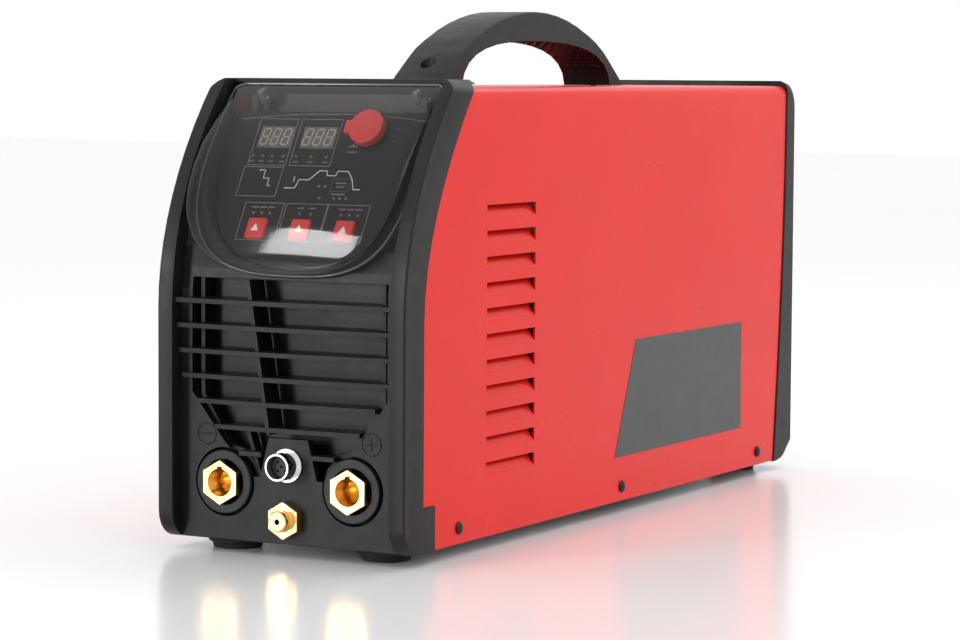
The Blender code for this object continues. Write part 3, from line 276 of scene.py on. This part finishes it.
def lines(name, paths, radius, material, matrix, body="casing", cyclic=()):
    """Fine raised lines: each path a list of (u, v) points in the matrix's plane."""
    curve = bpy.data.curves.new(name, "CURVE")
    curve.dimensions = "3D"
    curve.bevel_depth = radius
    curve.bevel_resolution = 1
    curve.use_fill_caps = True
    for index, path in enumerate(paths):
        spline = curve.splines.new("POLY")
        spline.points.add(len(path) - 1)
        for point, (u, v) in zip(spline.points, path):
            point.co = (u, v, 0, 1)
        spline.use_cyclic_u = cyclic is True or index in cyclic
    obj = link(bpy.data.objects.new(name, curve))
    obj.matrix_world = matrix
    paint(obj, MATERIALS[material])
    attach(obj, body)
    return obj


def plates(name, outlines, thickness, material, matrix, body="casing"):
    """Thin flat shapes on a surface: each outline a list of (u, v) points."""
    bm = bmesh.new()
    for outline in outlines:
        face = bm.faces.new([bm.verts.new((u, v, 0)) for u, v in outline])
        if face.normal.z < 0:
            face.normal_flip()
        extruded = bmesh.ops.extrude_face_region(bm, geom=[face])
        raised = [g for g in extruded["geom"] if isinstance(g, bmesh.types.BMVert)]
        bmesh.ops.translate(bm, verts=raised, vec=(0, 0, thickness))
    bmesh.ops.recalc_face_normals(bm, faces=bm.faces)
    obj = mesh_piece(name, bm)
    obj.matrix_world = matrix
    return finish_piece(obj, material, body)


def rectangle(low_u, low_v, high_u, high_v):
    return [(low_u, low_v), (high_u, low_v), (high_u, high_v), (low_u, high_v)]


def rounded(low_u, low_v, high_u, high_v, radius, count=4):
    """A rectangle with round corners."""
    outline = []
    corners = ((high_u, low_v, -90), (high_u, high_v, 0), (low_u, high_v, 90), (low_u, low_v, 180))
    for u, v, start in corners:
        cu = u - radius if u == high_u else u + radius
        cv = v - radius if v == high_v else v + radius
        for step in range(count + 1):
            a = math.radians(start + 90 * step / count)
            outline.append((cu + radius * math.cos(a), cv + radius * math.sin(a)))
    return outline


def circle(u, v, radius, count=16):
    return [(u + radius * math.cos(2 * math.pi * k / count), v + radius * math.sin(2 * math.pi * k / count))
            for k in range(count)]


def curve_y(curve, z):
    """The y of a side-view Bezier at height z."""
    low, high = 0.0, 1.0
    for _ in range(30):
        t = (low + high) / 2
        s = 1 - t
        share = (s**3, 3 * s * s * t, 3 * s * t * t, t**3)
        height = sum(c * p[1] for c, p in zip(share, curve))
        low, high = (t, high) if height < z else (low, t)
    return sum(c * p[0] for c, p in zip(share, curve))


# ---------------------------------------------------------------- visor
def visor_outline(half_width, low, high, count=22, shoulder=0.2350, corner=0.008, power=3.0):
    """Front view of the visor: a U with straight sides and round top corners."""
    half = []
    for step in range(9):
        a = math.radians(90 - 90 * step / 8)
        half.append((half_width - corner + corner * math.cos(a), high - corner + corner * math.sin(a)))
    for step in range(count + 1):
        a = math.pi / 2 * step / count
        half.append((half_width * math.cos(a) ** (2 / power),
                     shoulder - (shoulder - low) * math.sin(a) ** (2 / power)))
    return half + [(-x, z) for x, z in reversed(half) if abs(x) > 1e-9]


def visor_crown(x, z):
    rise = (z - VISOR_LOW) / (VISOR_HIGH - VISOR_LOW)
    return 0.0035 * max(0.0, 4 * rise * (1 - rise)) * (1 - (x / VISOR_HALF_WIDTH) ** 2)


def visor_rings(rings, centre_z=0.2200):
    """Loops of points over the visor's dome, each ring a scale and its share of the rim's depth."""
    rim = visor_outline(VISOR_HALF_WIDTH, VISOR_LOW + 0.0008, VISOR_HIGH)
    loops = []
    for scale, share in rings:
        loop = []
        for x, z in rim:
            here = centre_z + (z - centre_z) * scale
            front = curve_y(VISOR_CURVE, here) - visor_crown(x * scale, here)
            depth = max(0.0, curve_y(FACE_CURVE, z) - 0.0018 - curve_y(VISOR_CURVE, z))
            loop.append((x * scale, front + depth * share, here))
        loops.append(loop)
    return loops


def skin_loops(bm, loops):
    """Faces between neighbouring loops, and a fan that closes the last one."""
    made = [[bm.verts.new(point) for point in loop] for loop in loops]
    for outside, inside in zip(made, made[1:]):
        for index in range(len(outside)):
            after = (index + 1) % len(outside)
            bm.faces.new((outside[index], outside[after], inside[after], inside[index]))
    last = made[-1]
    middle = bm.verts.new(sum((v.co for v in last), Vector()) / len(last))
    for index, vert in enumerate(last):
        bm.faces.new((vert, last[(index + 1) % len(last)], middle))
    bmesh.ops.recalc_face_normals(bm, faces=bm.faces)
    if sum(face.normal.y * face.calc_area() for face in bm.faces) > 0:
        bmesh.ops.reverse_faces(bm, faces=bm.faces)


def build_visor():
    bm = bmesh.new()
    rings = [(1.0, 1.0), (0.996, 0.74), (0.992, 0.50), (0.985, 0.28), (0.976, 0.13), (0.964, 0.05),
             (0.95, 0.01), (0.90, 0.0), (0.80, 0.0), (0.66, 0.0), (0.50, 0.0), (0.34, 0.0), (0.18, 0.0)]
    skin_loops(bm, visor_rings(rings))
    dome = mesh_piece("visor_dome", bm)
    wall = dome.modifiers.new("wall", "SOLIDIFY")
    wall.thickness = VISOR_WALL
    wall.offset = -1
    finish_piece(dome, "smoked_clear", "visor")
    dome.data.shade_smooth()
    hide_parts("visor")

    # the thick polished rim that catches the light all round
    rim = visor_rings([(0.996, 0.97)])[0]
    curve = bpy.data.curves.new("visor_rim", "CURVE")
    curve.dimensions = "3D"
    curve.bevel_depth = 0.0009
    curve.bevel_resolution = 2
    spline = curve.splines.new("POLY")
    spline.points.add(len(rim) - 1)
    for point, place in zip(spline.points, rim):
        point.co = (*place, 1)
    spline.use_cyclic_u = True
    edge = link(bpy.data.objects.new("visor_rim", curve))
    paint(edge, MATERIALS["visor_rim"])
    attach(edge, "visor")

    # one hinge lug inside each top corner, around its pin
    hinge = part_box("visor_pin_left")
    axis_y, axis_z = (hinge[0].y + hinge[1].y) / 2, (hinge[0].z + hinge[1].z) / 2
    for name, side in (("left", -1), ("right", 1)):
        outline = [(axis_y + 0.0034 * math.cos(a), axis_z + 0.0034 * math.sin(a))
                   for a in (math.radians(-150 + 190 * k / 8) for k in range(9))]
        outline += [(axis_y + 0.0003, axis_z + 0.0062), (axis_y - 0.0058, axis_z + 0.0036)]
        low_x = side * VISOR_LUG_X - VISOR_LUG_THICKNESS / 2
        across = Matrix(((0, 0, 1, low_x), (1, 0, 0, 0), (0, 1, 0, 0), (0, 0, 0, 1)))
        plates(f"visor_lug_{name}", [outline], VISOR_LUG_THICKNESS, "lug", across, "visor")


# ---------------------------------------------------------------- control panel print
def steps(points):
    return [(u * 0.001, v * 0.001) for u, v in points]


SEGMENTS = {  # seven-segment figure: centre (u, v) and whether it lies flat, in half widths and heights
    "top": (0, 1, True), "middle": (0, 0, True), "bottom": (0, -1, True),
    "upper_left": (-1, 0.5, False), "upper_right": (1, 0.5, False),
    "lower_left": (-1, -0.5, False), "lower_right": (1, -0.5, False),
}


def segment_outline(u, v, length, thick, flat, slant):
    half, tip = length / 2, thick / 2
    shape = [(-half, 0), (-half + tip, -tip), (half - tip, -tip), (half, 0), (half - tip, tip),
             (-half + tip, tip)]
    if not flat:
        shape = [(-b, a) for a, b in shape]
    return [(u + a + (v + b) * slant, v + b) for a, b in shape]


def build_trough_liner():
    """Dark sheet that closes the back of the visor's hinge trough."""
    behind = Matrix(((1, 0, 0, 0), (0, 0, -1, TROUGH_BACK_Y), (0, 1, 0, 0), (0, 0, 0, 1)))
    plates("hinge_trough_liner", [rectangle(-0.0610, 0.2450, 0.0610, 0.2660)], 0.0010, "black_moulding",
           behind)


def build_displays():
    for name in ("left", "right"):
        low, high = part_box(f"display_{name}")
        centre_x = (low.x + high.x) / 2
        outlines = []
        for digit in (-1, 0, 1):
            for u, v, flat in SEGMENTS.values():
                length = 0.0040 if flat else 0.0049
                outlines.append([(a + digit * 0.0072, b) for a, b in segment_outline(
                    u * 0.0022, v * 0.0051, length, 0.0010, flat, 0.13)])
        figures = PANEL_FRAME @ Matrix.Translation((centre_x, DISPLAY_V, DISPLAY_TOP))
        plates(f"display_figures_{name}", outlines, 0.00012, "segment", figures)


def build_panel_print():
    face = PANEL_FRAME @ Matrix.Translation((0, 0, 0.00005))
    frames = [rectangle(-49, 40.5, -23.5, 71), rectangle(-20.8, 40.5, 6.5, 71),
              rectangle(-50.5, 20.2, -24, 39.2), rectangle(-42, -8, -16, 16),
              rectangle(-14.3, -8, 13.1, 16), rectangle(13.8, -8, 41, 16)]
    lines("panel_frames", [steps(outline) for outline in frames], 0.00014, "print", face, cyclic=True)

    waveforms = [
        [(-39.5, 37.2), (-35.5, 37.2), (-35.5, 32.0), (-31.5, 32.0), (-31.5, 27.2), (-29.5, 27.2)],
        [(-19.5, 26.0), (-12.5, 26.0), (-11.0, 31.5), (-4.5, 31.5), (1.0, 37.5), (6.0, 37.5), (6.8, 34.5),
         (12.5, 34.5), (13.2, 37.5), (20.0, 37.5), (24.0, 32.5), (26.5, 26.0), (31.0, 26.0)],
        [(-14.5, 30.0), (-14.5, 33.5)]]
    lines("panel_waveform", [steps(path) for path in waveforms], 0.00030, "bright_print", face)
    lines("panel_small_boxes", [steps(rectangle(11.5, 24.5, 23.5, 32.5))], 0.00012, "dim_print", face,
          cyclic=True)

    lamps = [(u, 46.5) for u in (-47.1, -40.6, -34.1, -26.6, -17.9, -7.6, 2.6)]
    lamps += [(u, 9.5) for u in (-34.8, -29.4, -24.0, -4.0, 3.5, 23.5, 29.0, 34.5)]
    lamps += [(u, 27.5) for u in (3.5, 7.5)] + [(u, 20.0) for u in (6.0, 15.5, 19.5, 23.5)]
    plates("panel_lamps", [circle(u * 0.001, v * 0.001, 0.00085) for u, v in lamps], 0.00010, "dim_print",
           face)
    # small plain bars stand for the printed captions
    bars = [(u, 43.0, 3.4) for u in (-47.1, -40.6, -34.1, -26.6, -16.9, -7.6, 2.6)]
    bars += [(u, 13.2, 4.4) for u in (-34.8, -29.4, -24.0, -4.0, 3.5, 23.5, 29.0, 34.5)]
    bars += [(17.5, 29.8, 7.0), (17.5, 27.4, 5.0), (18.5, 50.0, 6.5), (17.5, 22.6, 9.0)]
    plates("panel_caption_bars", [steps(rectangle(u - w / 2, v - 0.45, u + w / 2, v + 0.45))
                                  for u, v, w in bars], 0.00008, "dim_print", face)

    # knob scale: three ticks round the lower right of the knob and a small push symbol
    low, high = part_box("encoder_shaft")
    knob_u = (low.x + high.x) / 2
    ticks = [[(knob_u + r * math.cos(a), KNOB_V + r * math.sin(a)) for r in (0.0165, 0.0190)]
             for a in (math.radians(-20 + 25 * k) for k in range(0, 4))]
    lines("knob_scale", ticks, 0.00016, "dim_print", face)
    push = [[(18.5, 53.0), (18.5, 56.0)],
            [(15.5, 53.2), (17.2, 54.0), (18.5, 54.2), (19.8, 54.0), (21.5, 53.2)]]
    lines("push_symbol", [steps(path) for path in push], 0.00018, "print", face)

    arch = [(u * 0.001, 0.0745 - 0.0040 * (u / 62) ** 2) for u in range(-62, 63, 4)]
    lines("panel_arch_bead", [arch + [(0.0650, 0.0745)]], 0.00035, "visor_rim", face)


def build_button_marks():
    for name, x in zip(("left", "middle", "right"), BUTTON_X):
        cap = PANEL_FRAME @ Matrix.Translation((x, BUTTON_V, BUTTON_TOP))
        plates(f"button_mark_{name}", [[(-0.0026, -0.0020), (0.0026, -0.0020), (0, 0.0026)]], 0.00012,
               "bright_print", cap, f"button_{name}")


# ---------------------------------------------------------------- marks on the casing
def build_casing_marks():
    for name, side in (("left", -1), ("right", 1)):
        corners = [(0.0206, 0.1080), (0.1840, 0.1080), (0.1845, 0.0357), (-0.0087, 0.0354)]
        if side < 0:
            corners = corners[::-1]
        outward = Matrix(((0, 0, side, side * (COVER_X + 0.00005)), (side, 0, 0, 0), (0, 1, 0, 0),
                          (0, 0, 0, 1)))
        plates(f"side_decal_{name}", [[(side * y, z) for y, z in corners]], 0.00018, "decal", outward)
    front = Matrix(((1, 0, 0, 0), (0, 0, -1, LOWER_FACE_Y), (0, 1, 0, 0), (0, 0, 0, 1)))
    for name, side in (("negative", -1), ("positive", 1)):
        u, v = side * 0.0548, 0.068
        marks = [[(u - 0.0038, v), (u + 0.0038, v)]]
        if side > 0:
            marks.append([(u, v - 0.0038), (u, v + 0.0038)])
        lines(f"polarity_{name}_sign", marks, 0.00045, "black_screw", front)
        lines(f"polarity_{name}_ring", [circle(u, v, 0.0062, 28)], 0.00045, "black_screw", front,
              cyclic=True)


def bezier_points(controls, count):
    points = []
    for step in range(count + 1):
        t = step / count
        u = 1 - t
        share = (u**3, 3 * u * u * t, 3 * u * t * t, t**3)
        points.append(tuple(sum(c * point[k] for c, point in zip(share, controls)) for k in (0, 1)))
    return points


def build_handle_ribs():
    """Honeycomb of low ribs moulded into the hollow side of the handle's arch."""
    foot_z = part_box("handle")[0].z
    arch = bezier_points([(-0.0924, foot_z), (-0.0890, 0.2900), (-0.0500, 0.2955), (0.0080, 0.2955)], 30) \
        + bezier_points([(0.0080, 0.2955), (0.0600, 0.2955), (0.1080, 0.2900), (0.1095, foot_z)], 30)[1:]
    lengths = [0.0]
    for first, second in zip(arch, arch[1:]):
        lengths.append(lengths[-1] + math.dist(first, second))

    def on_arch(along, across):
        along = min(max(along, 0.0), lengths[-1])
        index = max(k for k, length in enumerate(lengths[:-1]) if length <= along)
        share = (along - lengths[index]) / (lengths[index + 1] - lengths[index])
        y, z = (a + (b - a) * share for a, b in zip(arch[index], arch[index + 1]))
        return (across, y, z)

    curve = bpy.data.curves.new("handle_honeycomb", "CURVE")
    curve.dimensions = "3D"
    curve.bevel_depth = 0.00055
    curve.bevel_resolution = 1
    cell = 0.0034
    rows = range(-2, 3)
    for column in range(2, int(lengths[-1] / (cell * 1.5)) - 1):
        for row in rows:
            across = (row + 0.5 * (column % 2)) * cell * math.sqrt(3)
            if abs(across) > 0.0125:
                continue
            spline = curve.splines.new("POLY")
            spline.points.add(5)
            for k, point in enumerate(spline.points):
                a = math.radians(60 * k)
                place = on_arch(column * cell * 1.5 + cell * math.cos(a), across + cell * math.sin(a))
                point.co = (*place, 1)
            spline.use_cyclic_u = True
    ribs = link(bpy.data.objects.new("handle_honeycomb", curve))
    paint(ribs, MATERIALS["black_moulding"])
    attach(ribs, "casing")


# ---------------------------------------------------------------- camera, stage and lights
def build_camera():
    yaw, pitch, roll = CAMERA_YAW, CAMERA_PITCH, CAMERA_ROLL
    forward = Vector((-math.sin(yaw) * math.cos(pitch), math.cos(yaw) * math.cos(pitch), -math.sin(pitch)))
    right = Vector((math.cos(yaw), math.sin(yaw), 0))
    up = right.cross(forward)
    right_rolled = right * math.cos(roll) + up * math.sin(roll)
    up_rolled = up * math.cos(roll) - right * math.sin(roll)
    data = bpy.data.cameras.new("camera")
    data.lens = CAMERA_LENS
    data.sensor_width = 36
    data.clip_end = 50
    camera = link(bpy.data.objects.new("camera", data))
    turn = Matrix((right_rolled, up_rolled, -forward)).transposed()
    camera.matrix_world = Matrix.Translation(CAMERA_PLACE) @ turn.to_4x4()
    bpy.context.scene.camera = camera


def area_light(name, place, aim, size, power, colour=(1, 1, 1)):
    data = bpy.data.lights.new(name, "AREA")
    data.shape = "RECTANGLE"
    data.size, data.size_y = size
    data.energy = power
    data.color = colour
    lamp = link(bpy.data.objects.new(name, data))
    lamp.location = place
    lamp.rotation_euler = (Vector(aim) - Vector(place)).to_track_quat("-Z", "Y").to_euler()
    return lamp


def build_stage():
    bm = bmesh.new()
    bmesh.ops.create_grid(bm, x_segments=1, y_segments=1, size=8)
    floor = mesh_piece("floor", bm)
    material, tree, shader = new_material("pale_floor")
    shader.inputs["Roughness"].default_value = 0.20
    tree.links.new(add_ramp(tree, add_noise(tree, 2.0), [(0, (0.86, 0.86, 0.86)), (1, (0.90, 0.90, 0.90))]),
                   shader.inputs["Base Color"])
    paint(floor, material)
    world = bpy.data.worlds.new("studio")
    world.use_nodes = True
    world.node_tree.nodes["Background"].inputs["Color"].default_value = (1, 1, 1, 1)
    world.node_tree.nodes["Background"].inputs["Strength"].default_value = 1.0
    bpy.context.scene.world = world
    bpy.context.scene.view_settings.view_transform = "Standard"
    area_light("key_softbox", (2.1, 0.3, 1.3), (0.05, 0.0, 0.12), (1.6, 1.2), 9)
    area_light("front_softbox", (-0.95, -2.0, 0.50), (0, -0.26, 0.18), (0.32, 0.60), 14)
    area_light("top_softbox", (0.5, 1.1, 1.7), (0, 0, 0.1), (1.4, 1.4), 10)


# ---------------------------------------------------------------- the whole scene
build_camera()
build_stage()

DETAILED = {"visor"}
for node_name in sorted(NODES):
    if node_name not in DETAILED:
        refine(node_name, 0.0004 if node_name in ("top_cover", "front_grille") else 0.0006)
paint(NODES["visor"], MATERIALS["smoked_clear"])

build_visor()
build_trough_liner()
build_displays()
build_panel_print()
build_button_marks()
build_casing_marks()
build_handle_ribs()

bpy.context.view_layer.update()
